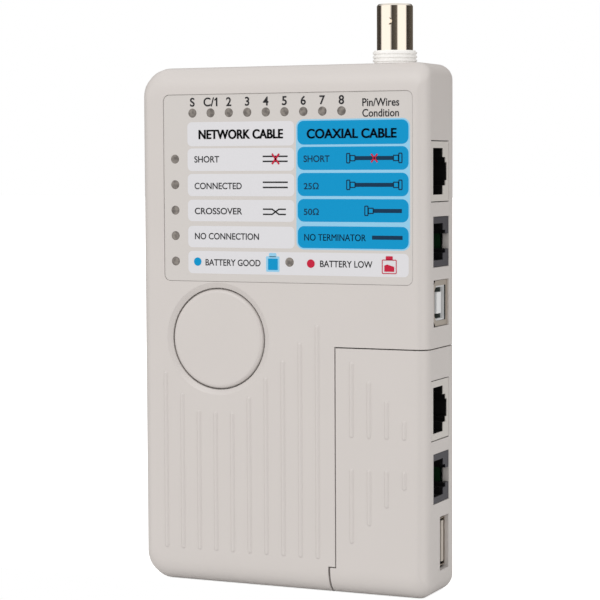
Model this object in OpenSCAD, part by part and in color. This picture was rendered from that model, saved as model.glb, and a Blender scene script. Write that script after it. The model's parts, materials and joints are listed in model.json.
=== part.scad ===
// Hand-held network cable tester: a main unit with sockets, lamps, a test
// button and a bayonet coaxial socket, and a remote unit that docks in the
// lower right corner and slides out downwards.
// Millimetres. X right, Y towards the back, Z up, origin at the bottom centre.

/* [Case] */
// case width
case_w = 85; // [75:0.5:95]
// case height without the coaxial socket
case_h = 143.3; // [130:0.1:155]
// case depth without the grip ribs
case_d = 22.6; // [20:0.1:28]
// wall thickness
wall = 1.8; // [1.2:0.1:2.5]
// radius of the left corners seen from the front
corner_r = 7; // [5:0.5:12]
// radius of the right corners seen from the front
right_r = 4.2; // [3:0.1:8]
// depth of the front rounding at top and bottom
edge_r = 5; // [3:0.5:9]
// height of that rounding over its depth
edge_k = 1.4; // [1:0.1:2]
// rounding of the front edge at the sides
side_r = 3.2; // [2:0.1:5]
// rounding of all back edges
back_r = 3.5; // [2:0.1:5]
// depth of the rear shell
rear_d = 4.9; // [4:0.1:8]

/* [Label] */
// label left edge
label_x0 = -35.3; // [-38:0.1:-30]
// label right edge
label_x1 = 38.5; // [30:0.1:40]
// label lower edge
label_z0 = 84.4; // [80:0.1:90]
// label upper edge
label_z1 = 135.8; // [130:0.1:138]
// label corner radius
label_r = 1.8; // [1:0.1:4]
// label recess depth
label_recess = 0.45; // [0.2:0.05:0.8]
// label thickness
label_t = 0.3; // [0.1:0.05:0.4]

/* [Lamps] */
// first lamp of the wire row
row_x = -26.3; // [-30:0.1:-20]
// wire lamp spacing
row_pitch = 5.56; // [5:0.02:6]
// wire lamp height
row_z = 130.7; // [128:0.1:132]
// result lamp column position
col_x = -31.8; // [-34:0.1:-28]
// top result lamp height
col_z = 118.1; // [115:0.1:120]
// result lamp spacing
col_pitch = 7.05; // [6.5:0.05:7.5]
// low battery lamp position
low_x = 2.8; // [0:0.1:6]
// low battery lamp height
low_z = 90.1; // [88:0.1:92]
// lamp radius
lamp_r = 1.5; // [1:0.1:2]
// lamp window radius in the label
window_r = 1.25; // [1:0.05:1.4]

/* [Button] */
// button centre across
button_x = -19; // [-22:0.1:-15]
// button centre height
button_z = 68.6; // [65:0.1:72]
// button hole radius
button_r = 14.1; // [12:0.1:16]
// gap round the button cap
button_gap = 0.4; // [0.3:0.05:0.6]
// press travel
button_travel = 1; // [0.5:0.1:1.5]
// width of the dished rim
dish_w = 1.5; // [1:0.1:2.5]

/* [Grip ribs] */
// first rib of the main unit
rib_x = -35.2; // [-37:0.1:-33]
// rib spacing
rib_pitch = 5.12; // [4.5:0.01:6]
// rib width
rib_w = 1.3; // [0.8:0.1:2]
// rib height
rib_h = 0.3; // [0.2:0.05:0.6]
// lower end of the main ribs
rib_z0 = 9.5; // [8:0.1:12]

/* [Remote] */
// left edge of the remote
dock_x = 16.1; // [14:0.1:20]
// top of the remote
dock_z = 67.3; // [60:0.1:72]
// width of the visible seam
seam = 0.3; // [0.2:0.05:0.5]
// width of the remote's foot
foot_w = 1.8; // [1:0.1:3]
// height of the remote's foot
foot_h = 7.5; // [5:0.1:10]
// first rib of the remote
remote_rib_x = 20.85; // [19:0.05:23]
// remote rib spacing
remote_rib_pitch = 5.06; // [4.5:0.01:6]

/* [Coaxial socket] */
// socket axis position
coax_x = 29.2; // [26:0.1:32]
// barrel radius
coax_r = 4.85; // [4.7:0.01:5]
// barrel top
coax_top = 159.2; // [155:0.1:163]
// threaded neck radius
neck_r = 5.95; // [5.5:0.05:7]
// threaded neck top
neck_top = 146.8; // [145:0.1:148]

/* [Sockets] */
// main eight-way socket centre
net_z = 114.5; // [110:0.1:118]
// main phone socket centre
phone_z = 95.75; // [92:0.05:99]
// square USB socket centre
usb_b_z = 79.3; // [76:0.1:82]
// remote eight-way socket centre
remote_net_z = 50.75; // [48:0.05:54]
// remote phone socket centre
remote_phone_z = 32.3; // [30:0.1:35]
// flat USB socket centre
usb_a_z = 14.2; // [12:0.1:16]

/* [Hidden] */
$fn = 48;

e = 0.01;                               // overlap that keeps cuts clean
half_w = case_w / 2;
y_front = -case_d / 2 + rib_h / 2;      // main front surface
y_back = case_d / 2 + rib_h / 2;        // back surface
y_in = y_front + wall;                  // inside of the front wall
y_rear_in = y_back - wall;              // inside of the rear wall
y_part = y_back - rear_d;               // parting plane of the two shells
x_side_in = half_w - wall;
board_t = 1.6;
board_y = y_part - 0.9;                 // front face of the circuit boards
board_back = board_y + board_t;
bay_x0 = -36.6;                         // battery bay
bay_x1 = -8.9;
bay_z1 = 58;
battery_w = 26.5;
battery_t = 17.5;
battery_h = 46.4;
battery_x = (bay_x0 + bay_x1) / 2;
battery_y = y_in + 0.2;
battery_z = 4.7;
door_x0 = bay_x0 - 0.6;
door_x1 = bay_x1 + 0.6;
door_z1 = 57;
tongue_w = 1.2;
groove_y0 = y_back - 2.75;
groove_y1 = y_back - 1.35;
inner_x = dock_x - seam / 2;            // edge of the main unit's lips
shelf_z = dock_z + seam / 2;            // underside of the main unit
rail_wall_x = inner_x - 1.95;           // outer face of the dock wall
rail_top = 60;
remote_x = dock_x + seam / 2;
remote_top = dock_z - seam / 2;
net_w = 15.9;
net_y0 = -7.75;
net_len = 21;
phone_w = 13.2;
phone_y0 = -6.2;
phone_len = 18;
usb_b_w = 12.2;
usb_b_y0 = -5.9;
usb_a_w = 14.6;
usb_a_y0 = -1.35;
usb_a_y1 = 5.35;
pocket_top = 41.5;
main_screws = [[-35.5, 136], [16.5, 137.3], [-36.2, 62.2], [2, 8]];
remote_screw_at = [[29.5, 62.3], [21.5, 6.6]];
shell_color = "#D3CEC9";

// ---- shared shapes ----
function arc(cx, cz, rx, rz, a0, n) =
  [for (i = [0:n]) [cx + rx * cos(a0 + 90 * i / n), cz + rz * sin(a0 + 90 * i / n)]];

// corner radius left after an inset s
function inset_r(r, s) = max(r - s * 0.6, r * 0.25);

// rounded outline with separate insets at the sides and at the ends
function outline(sx, sz, n) =
  let (x = half_w - sx, z0 = sz, z1 = case_h - sz,
       rx = inset_r(corner_r, sx), rz = inset_r(corner_r, sz),
       qx = inset_r(right_r, sx), qz = inset_r(right_r, sz))
  concat(arc(x - qx, z1 - qz, qx, qz, 0, n), arc(-x + rx, z1 - rz, rx, rz, 90, n),
         arc(-x + rx, z0 + rz, rx, rz, 180, n), arc(x - qx, z0 + qz, qx, qz, 270, n));

// inset of a rounded edge of radius r at depth d below its face
function edge_inset(r, d) = d >= r ? 0 : r - sqrt(r * r - (r - d) * (r - d));

// depths of the rings that draw a rounded edge, as shares of its radius
front_steps = [0, 0.015, 0.05, 0.115, 0.2, 0.315, 0.457, 0.686, 1];
back_steps = [1, 0.7, 0.45, 0.25, 0.11, 0.03, 0];
arc_n = 8;

// the whole case as one smooth solid, shrunk by g
module case_body(g) {
  re = max(edge_r - g, 0.5);
  rs = max(side_r - g, 0.5);
  rb = max(back_r - g, 0.5);
  rings = concat(
    [for (t = front_steps)
      let (sx = g + edge_inset(rs, t * re), sz = g + edge_inset(re, t * re) * edge_k)
      [for (p = outline(sx, sz, arc_n)) [p[0], y_front + g + t * re, p[1]]]],
    [for (t = back_steps)
      let (sb = g + edge_inset(rb, t * rb))
      [for (p = outline(sb, sb, arc_n)) [p[0], y_back - g - t * rb, p[1]]]]);
  n = len(rings[0]);
  m = len(rings);
  polyhedron(
    points = [for (ring = rings) for (p = ring) p],
    faces = concat(
      [[for (j = [n - 1:-1:0]) j], [for (j = [0:n - 1]) (m - 1) * n + j]],
      [for (i = [0:m - 2]) for (j = [0:n - 1])
        let (k = (j + 1) % n) [i * n + j, i * n + k, (i + 1) * n + k, (i + 1) * n + j]]));
}

// hollow inside both shells, stepped where the front edges are round
module cavity() {
  step_y = y_in + 2.8;
  r = corner_r - wall;
  round_plate(-x_side_in, x_side_in, wall + 2.6, case_h - wall - 2.6, y_in, step_y + e, r);
  round_plate(-x_side_in, x_side_in, wall, case_h - wall, step_y, y_rear_in, r);
}

module box(a, b) {
  translate(a) cube([b[0] - a[0], b[1] - a[1], b[2] - a[2]]);
}

// cylinder along Y from y0 to y1
module rod_y(x, z, y0, y1, r) {
  translate([x, y0, z]) rotate([-90, 0, 0]) cylinder(h = y1 - y0, r = r);
}

// cylinder along X from x0 to x1
module rod_x(y, z, x0, x1, r) {
  translate([x0, y, z]) rotate([0, 90, 0]) cylinder(h = x1 - x0, r = r);
}

module rod_z(x, y, z0, z1, r) {
  translate([x, y, z0]) cylinder(h = z1 - z0, r = r);
}

// flat plate with rounded corners in the front plane
module round_plate(x0, x1, z0, z1, y0, y1, r) {
  box([x0 + r, y0, z0], [x1 - r, y1, z1]);
  box([x0, y0, z0 + r], [x1, y1, z1 - r]);
  for (x = [x0 + r, x1 - r], z = [z0 + r, z1 - r]) rod_y(x, z, y0, y1, r);
}

// raised grip rib: a low round ridge with round ends
module rib(x, z0, z1) {
  r = rib_w / 2;
  ridge_r = (r * r + rib_h * rib_h) / (2 * rib_h);
  y = y_front - rib_h + ridge_r;
  rod_z(x, y, z0 + r, z1 - r, ridge_r);
  for (z = [z0 + r, z1 - r]) translate([x, y, z]) sphere(r = ridge_r);
}

// room that the main unit fills, between two depths
module main_area(y0, y1) {
  foot_x = rail_wall_x - 0.1;
  box([-60, y0, -1], [foot_x, y1, 200]);
  box([foot_x - 1, y0, foot_h + 0.15], [inner_x, y1, 200]);
  box([inner_x - 1, y0, shelf_z], [60, y1, 200]);
}

module screw(x, z) {
  rod_y(x, z, y_back - 3, y_back - 1.4, 2.3);
  rod_y(x, z, y_back - 12, y_back - 3 + e, 1.2);
}

module screw_slots(x, z) {
  box([x - 1.5, y_back - 2.3, z - 0.3], [x + 1.5, y_back, z + 0.3]);
  box([x - 0.3, y_back - 2.3, z - 1.5], [x + 0.3, y_back, z + 1.5]);
}

// counterbored hole for a screw in a rear shell
module screw_hole(x, z) {
  rod_y(x, z, y_back - 3.05, y_back + 1, 2.65);
  rod_y(x, z, y_back - 8, y_back - 3, 1.5);
}

// ---- main unit case ----
module port_cuts(side) {
  // openings in the right wall, the same outlines as the sockets plus a gap
  g = 0.15;
  gz = 0.25;
  x0 = x_side_in - 1;
  x1 = half_w + 1;
  if (side == "main") {
    box([x0, net_y0 - g, net_z - net_w / 2 - gz], [x1, board_y, net_z + net_w / 2 + gz]);
    box([x0, phone_y0 - g, phone_z - phone_w / 2 - g], [x1, board_y, phone_z + phone_w / 2 + g]);
    box([x0, usb_b_y0 - g, usb_b_z - usb_b_w / 2 - g], [x1, board_y, usb_b_z + usb_b_w / 2 + g]);
  } else {
    box([x0, net_y0 - g, remote_net_z - net_w / 2 - gz],
        [x1, board_y, remote_net_z + net_w / 2 + gz]);
    box([x0, phone_y0 - g, remote_phone_z - phone_w / 2 - g],
        [x1, board_y, remote_phone_z + phone_w / 2 + g]);
    box([x0, usb_a_y0, usb_a_z - usb_a_w / 2], [x1, usb_a_y1, usb_a_z + usb_a_w / 2]);
  }
}

// inner wall from the front skin, stepped clear of the round lower edge
module upright(x0, x1, y1, z1) {
  box([x0, y_in - e, 4], [x1, y1, z1]);
  box([x0, y_in + 2.5, 1.2], [x1, y1, 4 + e]);
}

main_rib_tops = [59.1, 53.3, 48.7, 48.5, 48.5, 53, 58.5, 63.4, 68.4, 73.3];

module front_case() {
  color(shell_color) {
    difference() {
      union() {
        difference() {
          intersection() { case_body(0); main_area(-20, y_part); }
          cavity();
        }
        // dock walls
        upright(rail_wall_x - wall, rail_wall_x, y_part, shelf_z + wall);
        box([rail_wall_x - wall, y_in - e, shelf_z], [x_side_in + e, y_part, shelf_z + wall]);
        // battery bay walls
        upright(bay_x0 - 1.2, bay_x0, y_part, bay_z1);
        upright(bay_x1, bay_x1 + 1.2, y_part, bay_z1);
        for (i = [0:9])
          rib(rib_x + i * rib_pitch, rib_z0, main_rib_tops[i]);
        rod_y(button_x, button_z, y_in - e, y_in + 3.6, button_r + 2.9);
        for (s = main_screws) rod_y(s[0], s[1], y_in - e, y_part, 2.6);
        intersection() {
          rod_z(coax_x, 0, case_h - wall - 1, case_h, neck_r + 1.2);
          box([0, -20, 0], [60, y_part, 200]);
        }
      }
      for (s = main_screws) rod_y(s[0], s[1], y_part - 7.5, y_part + 1, 1.3);
      round_plate(label_x0, label_x1, label_z0, label_z1, y_front - 1,
                  y_front + label_recess, label_r);
      for (i = [0:8])
        rod_y(row_x + i * row_pitch, row_z, y_front - 1, y_in + 1, lamp_r + 0.25);
      for (j = [0:4])
        rod_y(col_x, col_z - j * col_pitch, y_front - 1, y_in + 1, lamp_r + 0.25);
      rod_y(low_x, low_z, y_front - 1, y_in + 1, lamp_r + 0.25);
      rod_y(button_x, button_z, y_front - 1, y_in + 5, button_r);
      rod_y(button_x, button_z, y_in + 0.1, y_in + 5, button_r + 1.3);
      // dished rim round the button
      translate([button_x, y_front - e, button_z]) rotate([-90, 0, 0])
        cylinder(h = 0.7, r1 = button_r + dish_w, r2 = button_r + 0.1);
      rod_z(coax_x, 0, case_h - 10, case_h + 1, neck_r + 0.15);
      port_cuts("main");
      // slot in the dock wall for the remote's rail
      box([rail_wall_x - wall - 1, -1.8, -1], [rail_wall_x + 1, 1.8, rail_top + 0.5]);
      box([rail_wall_x - wall - 2.1, -3.6, -1], [rail_wall_x - wall, 3.6, wall + e]);
    }
  }
}

module rear_case() {
  color(shell_color) {
    difference() {
      union() {
        difference() {
          intersection() { case_body(0); main_area(y_part, 20); }
          cavity();
        }
        box([rail_wall_x - wall, y_part, 1.2], [rail_wall_x, y_rear_in + e, shelf_z + wall]);
        box([rail_wall_x - wall, y_part, shelf_z], [x_side_in + e, y_rear_in + e, shelf_z + wall]);
        // slide rails beside the battery opening
        box([bay_x0 - 3, y_part + 0.9, 2.2], [bay_x0, y_back - 0.8, bay_z1 + 1.5]);
        box([bay_x1, y_part + 0.9, 2.2], [bay_x1 + 3, y_back - 0.8, bay_z1 + 1.5]);
        box([bay_x0 - 3, y_part + 0.9, bay_z1], [bay_x1 + 3, y_back - 0.8, bay_z1 + 4]);
        for (s = main_screws) rod_y(s[0], s[1], y_part, y_rear_in + e, 3.4);
      }
      for (s = main_screws) screw_hole(s[0], s[1]);
      // battery opening, grooves for the door tongues and its catch
      box([bay_x0, y_part - 1, -1], [bay_x1, y_back + 1, door_z1 + 0.2]);
      box([door_x0 - 0.2, groove_y1, -1], [door_x1 + 0.2, y_back + 1, door_z1 + 0.2]);
      box([door_x0 - tongue_w - 0.2, groove_y0, -1],
          [door_x1 + tongue_w + 0.2, groove_y1 + e, door_z1 + 0.2]);
      box([battery_x - 5.2, groove_y0, door_z1], [battery_x + 5.2, groove_y1, door_z1 + 2.6]);
      port_cuts("main");
    }
  }
}

module label_panel() {
  g = 0.1;
  color("#CFCAC6")
    difference() {
      round_plate(label_x0 + g, label_x1 - g, label_z0 + g, label_z1 - g,
                  y_front + label_recess - label_t, y_front + label_recess, label_r - g);
      for (i = [0:8]) rod_y(row_x + i * row_pitch, row_z, y_front - 1, y_in, window_r);
      for (j = [0:4]) rod_y(col_x, col_z - j * col_pitch, y_front - 1, y_in, window_r);
      rod_y(low_x, low_z, y_front - 1, y_in, window_r);
    }
}

module case_screws() {
  color("#B9BCC0")
    difference() {
      union() for (s = main_screws) screw(s[0], s[1]);
      for (s = main_screws) screw_slots(s[0], s[1]);
    }
}

// ---- electronics of the main unit ----
// holes in a board for pins at [x, z, pin radius]
module pin_holes(pins) {
  for (p = pins) rod_y(p[0], p[1], board_y - 1, board_back + 1, p[2] + 0.08);
}

function jack_pins(x, z, dz, r) = [[x, z - dz, r], [x, z + dz, r]];
function lamp_pins(x, z) = [[x - 0.9, z, 0.22], [x + 0.9, z, 0.22]];

main_pins = concat(
  jack_pins(half_w - net_len + 9, net_z, 5.7, 1.4),
  jack_pins(half_w - phone_len + 8, phone_z, 5, 1.2),
  jack_pins(half_w - 16 + 5, usb_b_z, 5.8, 0.9),
  [[coax_x - 5, 133, 0.6], [coax_x + 5, 133, 0.6]],
  [for (dx = [-5.44, 5.44], dz = [-2.5, 2.5]) [button_x + dx, button_z + dz, 0.4]],
  [for (i = [0:8]) each lamp_pins(row_x + i * row_pitch, row_z)],
  [for (j = [0:4]) each lamp_pins(col_x, col_z - j * col_pitch)],
  lamp_pins(low_x, low_z));

remote_pins = concat(
  jack_pins(half_w - net_len + 9, remote_net_z, 5.7, 1.4),
  jack_pins(half_w - phone_len + 8, remote_phone_z, 5, 1.2));

module main_board() {
  color("#2E7D4F")
    difference() {
      union() {
        box([-39.8, board_y, shelf_z + 2.6], [39.8, board_back, 132.5]);
        box([-33, board_y, 132], [34.5, board_back, 139.5]);
        box([-34.5, board_y, 60.5], [12, board_back, 75]);
        box([-5.4, board_y, 13], [8.6, board_back, 61]);
      }
      for (s = main_screws) rod_y(s[0], s[1], board_y - 1, board_back + 1, 3.6);
      pin_holes(main_pins);
      for (x = [-38.2, 38.2], z = [76, 128]) rod_y(x, z, board_y - 1, board_back + 1, 1);
    }
}

module chip(x, z, w, h, t) {
  box([x - w / 2, board_y - t, z - h / 2], [x + w / 2, board_y, z + h / 2]);
}

module board_parts() {
  color("#26282B") {
    chip(-6, 104, 7.6, 12.5, 2.4);
    chip(8, 104, 5.2, 9.8, 1.8);
    chip(4, 84, 4, 5, 1.6);
    for (i = [0:7]) chip(-25 + i * 2.6, 122, 1.3, 2.2, 0.7);
    for (i = [0:5]) chip(-2 + i * 2.6, 72.5, 1.3, 2.2, 0.7);
    for (i = [0:3]) chip(1.5, 22 + i * 5, 2.2, 1.3, 0.7);
    rod_y(0, 52, board_y - 6, board_y, 2.6);
    rod_y(12, 118, board_y - 5.5, board_y, 2.1);
  }
}

lamp_tip = y_front + label_recess + 0.25;   // front of the lamp domes
lamp_base = lamp_tip + 5;

module lamp(x, z) {
  translate([x, lamp_tip + lamp_r, z]) sphere(r = lamp_r);
  rod_y(x, z, lamp_tip + lamp_r, lamp_base, lamp_r);
  rod_y(x, z, lamp_base - 0.9, lamp_base, lamp_r + 0.3);
  for (dx = [-0.9, 0.9]) rod_y(x + dx, z, lamp_base - e, board_back + 0.8, 0.22);
}

module wire_leds() {
  color("#C9CEC6") for (i = [0:8]) lamp(row_x + i * row_pitch, row_z);
}

module result_leds() {
  color("#C9CEC6") {
    for (j = [0:4]) lamp(col_x, col_z - j * col_pitch);
    lamp(low_x, low_z);
  }
}

module spacer(x, z) {
  difference() {
    rod_y(x, z, lamp_base + 0.02, board_y, 1.9);
    for (dx = [-0.9, 0.9]) rod_y(x + dx, z, lamp_base - 1, board_y + 1, 0.35);
  }
}

module led_spacers() {
  color("#E9E7E1") {
    for (i = [0:8]) spacer(row_x + i * row_pitch, row_z);
    for (j = [0:4]) spacer(col_x, col_z - j * col_pitch);
    spacer(low_x, low_z);
  }
}

switch_half = 6;
switch_front = board_y - 3.6;
plunger_top = switch_front - 3.4;

module switch_body() {
  color("#2B2C2F")
    difference() {
      union() {
        box([button_x - switch_half, switch_front, button_z - switch_half],
            [button_x + switch_half, board_y, button_z + switch_half]);
        for (dx = [-5.44, 5.44], dz = [-2.5, 2.5])
          rod_y(button_x + dx, button_z + dz, board_y - e, board_back + 0.9, 0.4);
      }
      rod_y(button_x, button_z, switch_front - 1, board_y - 0.8, 2.1);
    }
}

module switch_plunger() {
  color("#C9C6BE")
    rod_y(button_x, button_z, plunger_top, board_y - 0.8 - button_travel - 0.1, 1.7);
}

cap_r = button_r - button_gap;

module test_button() {
  color("#D6D1CC")
    difference() {
      union() {
        // cap turned with a rounded rim
        translate([button_x, y_front, button_z]) rotate([-90, 0, 0])
          rotate_extrude() union() {
            square([cap_r - 1.1, 1.1]);
            translate([0, 1.1]) square([cap_r, 3.3]);
            translate([cap_r - 1.1, 1.1]) circle(r = 1.1);
          }
        // retaining flange and stem
        rod_y(button_x, button_z, y_in + 0.4, y_in + 1.6, button_r + 0.9);
        rod_y(button_x, button_z, y_front + 2, plunger_top, 2.6);
        for (a = [0, 90]) translate([button_x, y_front + 2, button_z]) rotate([0, a, 0])
          box([-cap_r + 0.6, 0, -0.6], [cap_r - 0.6, 2.4, 0.6]);
      }
      // hollow underside, left solid at the stem and its webs
      difference() {
        rod_y(button_x, button_z, y_front + 1.9, y_front + 9, cap_r - 1.5);
        rod_y(button_x, button_z, y_front, y_front + 10, 2.6);
        for (a = [0, 90]) translate([button_x, y_front + 1, button_z]) rotate([0, a, 0])
          box([-cap_r, 0, -0.6], [cap_r, 4, 0.6]);
      }
    }
}

// ---- coaxial socket ----
module bnc_housing() {
  neck_gap = coax_r + 0.02;
  color("#EFEEEB")
    difference() {
      union() {
        box([coax_x - 7, -6.5, 125], [coax_x + 7, board_y - 0.05, case_h - wall - 1.05]);
        rod_z(coax_x, 0, case_h - wall - 1.2, neck_top, neck_r - 0.35);
        for (i = [0:4])
          translate([coax_x, 0, neck_top - 0.9 - i * 1]) cylinder(h = 0.5, r = neck_r);
        for (dx = [-5, 5]) rod_y(coax_x + dx, 133, board_y - 1, board_back + 0.9, 0.6);
      }
      rod_z(coax_x, 0, 127, 150, neck_gap);
    }
}

module bnc_barrel() {
  top_in = coax_top - 0.6;
  color("#C9C7C3")
    difference() {
      union() {
        rod_z(coax_x, 0, 127.2, coax_top - 0.5, coax_r);
        translate([coax_x, 0, coax_top - 0.5]) cylinder(h = 0.5, r1 = coax_r, r2 = coax_r - 0.4);
        // bayonet lugs, turned to the front and to the back
        for (a = [0, 180]) translate([coax_x, 0, coax_top - 4.7]) rotate([0, 0, a])
          rotate([90, 0, 0]) translate([0, 0, coax_r - 0.8]) cylinder(h = 1.8, r = 1);
      }
      rod_z(coax_x, 0, 128.5, coax_top + 1, 4.05);
      rod_z(coax_x, 0, 126, 129, 1.5);
    }
}

module bnc_insulator() {
  color("#F4F2EC")
    difference() {
      union() {
        rod_z(coax_x, 0, 128.6, neck_top + 1.2, 4.0);
        rod_z(coax_x, 0, neck_top + 1, coax_top - 4.2, 2.35);
      }
      rod_z(coax_x, 0, 120, coax_top, 1.12);
    }
}

module bnc_contact() {
  color("#C9A24A")
    difference() {
      rod_z(coax_x, 0, 127, coax_top - 5, 1.08);
      rod_z(coax_x, 0, coax_top - 9, coax_top, 0.68);
      box([coax_x - 2, -0.12, coax_top - 9], [coax_x + 2, 0.12, coax_top]);
    }
}

// ---- side sockets ----
// eight-way modular socket; the latch notch faces the back
module net_socket(z) {
  x0 = half_w - net_len;
  difference() {
    union() {
      box([x0, net_y0, z - net_w / 2], [half_w - 0.1, board_y - 0.05, z + net_w / 2]);
      for (dz = [-5.7, 5.7]) rod_y(x0 + 9, z + dz, board_y - 1, board_back + 0.7, 1.4);
    }
    box([x0 + 5, net_y0 + 1.5, z - 6.2], [half_w + 1, 1.35, z + 6.2]);
    box([x0 + 5, 1.3, z - 3.8], [half_w + 1, 3.3, z + 3.8]);
    box([x0 + 5, 3.2, z - 2.4], [half_w + 1, 4.4, z + 2.4]);
  }
}

module net_pins(z) {
  x0 = half_w - net_len;
  for (i = [0:7]) translate([0, 0, z - 3.57 + i * 1.02]) {
    // sprung wire that leans into the plug space
    translate([x0 + 17, net_y0 + 1.7, 0]) rotate([0, 0, 166])
      box([0, -0.18, -0.18], [9, 0.18, 0.18]);
  }
}

// six-way phone socket; the latch notch is open at the back
module phone_socket(z) {
  x0 = half_w - phone_len;
  difference() {
    union() {
      box([x0, phone_y0, z - phone_w / 2], [half_w - 0.1, board_y - 0.05, z + phone_w / 2]);
      for (dz = [-5, 5]) rod_y(x0 + 8, z + dz, board_y - 1, board_back + 0.7, 1.2);
    }
    box([x0 + 4, phone_y0 + 0.4, z - 4.9], [half_w + 1, 1.3, z + 4.9]);
    box([x0 + 4, 1.2, z - 3.1], [half_w + 1, 3.2, z + 3.1]);
    box([x0 + 4, 3, z - 2.05], [half_w + 1, board_y + 1, z + 2.05]);
  }
}

module phone_pins(z) {
  x0 = half_w - phone_len;
  for (i = [0:5]) translate([0, 0, z - 2.55 + i * 1.02]) {
    translate([x0 + 14, phone_y0 + 0.7, 0]) rotate([0, 0, 167])
      box([0, -0.18, -0.18], [7.5, 0.18, 0.18]);
  }
}

module network_jack() { color("#D2CDC8") net_socket(net_z); }
module network_contacts() { color("#D0A850") net_pins(net_z); }
module phone_jack() { color("#45434A") phone_socket(phone_z); }
module phone_contacts() { color("#D0A850") phone_pins(phone_z); }
module remote_network_jack() { color("#D2CDC8") net_socket(remote_net_z); }
module remote_network_contacts() { color("#D0A850") net_pins(remote_net_z); }
module remote_phone_jack() { color("#45434A") phone_socket(remote_phone_z); }
module remote_phone_contacts() { color("#D0A850") phone_pins(remote_phone_z); }

// square USB socket, its two cut corners towards the front
usb_b_len = 16;
module usb_b_outline(g) {
  w = usb_b_w / 2 - g;
  y0 = usb_b_y0 + g;
  y1 = board_y - 0.1 - g;
  c = 2.2 - g * 0.6;
  polygon([[y0, -w + c], [y0 + c, -w], [y1, -w], [y1, w], [y0 + c, w], [y0, w - c]]);
}

module usb_b_prism(x0, x1, g) {
  translate([x0, 0, usb_b_z]) rotate([90, 0, 90])
    linear_extrude(height = x1 - x0) usb_b_outline(g);
}

module usb_b_shell() {
  x0 = half_w - usb_b_len;
  color("#CFC7BC") {
    difference() {
      usb_b_prism(x0, half_w - 0.4, 0);
      usb_b_prism(x0 + 0.6, half_w - 0.8, 0.5);
      usb_b_prism(half_w - 1, half_w + 1, 1.4);
    }
    for (dz = [-5.8, 5.8]) rod_y(x0 + 5, usb_b_z + dz, board_y - 0.5, board_back + 0.9, 0.9);
  }
}

module usb_b_insert() {
  x0 = half_w - usb_b_len;
  color("#E9EAEA")
    difference() {
      usb_b_prism(x0 + 0.62, half_w - 0.82, 0.52);
      // opening for the plug, with the tongue left standing in it
      difference() {
        box([x0 + 6, usb_b_y0 + 1.6, usb_b_z - 4.25], [half_w + 1, 4, usb_b_z + 4.25]);
        box([x0 + 5, -1.5, usb_b_z - 2.85], [half_w - 0.9, 1.9, usb_b_z + 2.85]);
      }
    }
}

module usb_b_contacts() {
  x0 = half_w - usb_b_len;
  color("#D0A850")
    for (dy = [-1.65, 1.9], dz = [-1.25, 1.25])
      box([x0 + 6.1, dy, usb_b_z + dz - 0.5], [half_w - 3, dy + 0.15, usb_b_z + dz + 0.5]);
}

// ---- battery ----
module battery() {
  r = 1.6;
  x0 = battery_x - battery_w / 2;
  x1 = battery_x + battery_w / 2;
  y0 = battery_y;
  y1 = battery_y + battery_t;
  color("#3B4046") {
    box([x0 + r, y0, battery_z], [x1 - r, y1, battery_z + battery_h]);
    box([x0, y0 + r, battery_z], [x1, y1 - r, battery_z + battery_h]);
    for (x = [x0 + r, x1 - r], y = [y0 + r, y1 - r])
      rod_z(x, y, battery_z, battery_z + battery_h, r);
  }
}

cell_top = battery_z + battery_h;
cell_y = battery_y + battery_t / 2;

module battery_terminals() {
  color("#C8C4BA") {
    rod_z(battery_x - 6.35, cell_y, cell_top, cell_top + 2.4, 2.9);
    difference() {
      rod_z(battery_x + 6.35, cell_y, cell_top, cell_top + 2.4, 3.6);
      rod_z(battery_x + 6.35, cell_y, cell_top + 0.8, cell_top + 3, 2.9);
    }
  }
}

module battery_snap() {
  color("#1F2022")
    difference() {
      round_snap();
      rod_z(battery_x - 6.35, cell_y, cell_top, cell_top + 2.5, 3.2);
      rod_z(battery_x + 6.35, cell_y, cell_top, cell_top + 2.5, 3.9);
    }
}

module round_snap() {
  rod_z(battery_x - 7.6, cell_y, cell_top + 0.1, cell_top + 4.2, 5.3);
  rod_z(battery_x + 7.6, cell_y, cell_top + 0.1, cell_top + 4.2, 5.3);
  box([battery_x - 7.6, cell_y - 5.3, cell_top + 0.1],
      [battery_x + 7.6, cell_y + 5.3, cell_top + 4.2]);
}

// wire from the snap to the board: up, across and back
module lead(x, z_top, x_end) {
  r = 0.65;
  z0 = cell_top + 4.2;
  rod_z(x, cell_y, z0, z_top, r);
  translate([x, cell_y, z_top]) sphere(r = r);
  rod_x(cell_y, z_top, x, x_end, r);
  translate([x_end, cell_y, z_top]) sphere(r = r);
  rod_y(x_end, z_top, cell_y, board_y, r);
}

module battery_lead_red() { color("#B3262B") lead(battery_x + 9, 58.9, -2); }
module battery_lead_black() { color("#1E1E20") lead(battery_x + 5, 60.3, 1.5); }

// ---- battery door ----
module battery_door() {
  color(shell_color)
    difference() {
      union() {
        intersection() {
          case_body(0);
          box([door_x0, groove_y1 + 0.1, -1], [door_x1, 20, door_z1]);
        }
        intersection() {
          case_body(0.25);
          box([door_x0 - tongue_w, groove_y0 + 0.1, 3],
              [door_x1 + tongue_w, groove_y1 - 0.1, door_z1]);
        }
        box([door_x0 + 1, groove_y1 - 0.4, 3.6], [door_x1 - 1, groove_y1 + 0.2, door_z1]);
        box([battery_x - 5, groove_y0 + 0.1, door_z1 - e],
            [battery_x + 5, groove_y1 - 0.1, door_z1 + 2.4]);
      }
      // grip grooves for the thumb
      for (i = [0:5])
        box([battery_x - 6, y_back - 0.45, 44 + i * 1.7],
            [battery_x + 6, y_back + 1, 44.8 + i * 1.7]);
    }
}

// ---- remote unit ----
module remote_area(y0, y1) {
  box([remote_x, y0, -1], [half_w + 1, y1, remote_top]);
  box([remote_x - foot_w, y0, -1], [remote_x + 1, y1, foot_h - 0.15]);
}

remote_rib_tops = [63.6, 58.6, 53.5, 48.4];
remote_rib_bottoms = [14.4, 19.5, 24.6, 29.7];

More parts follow.
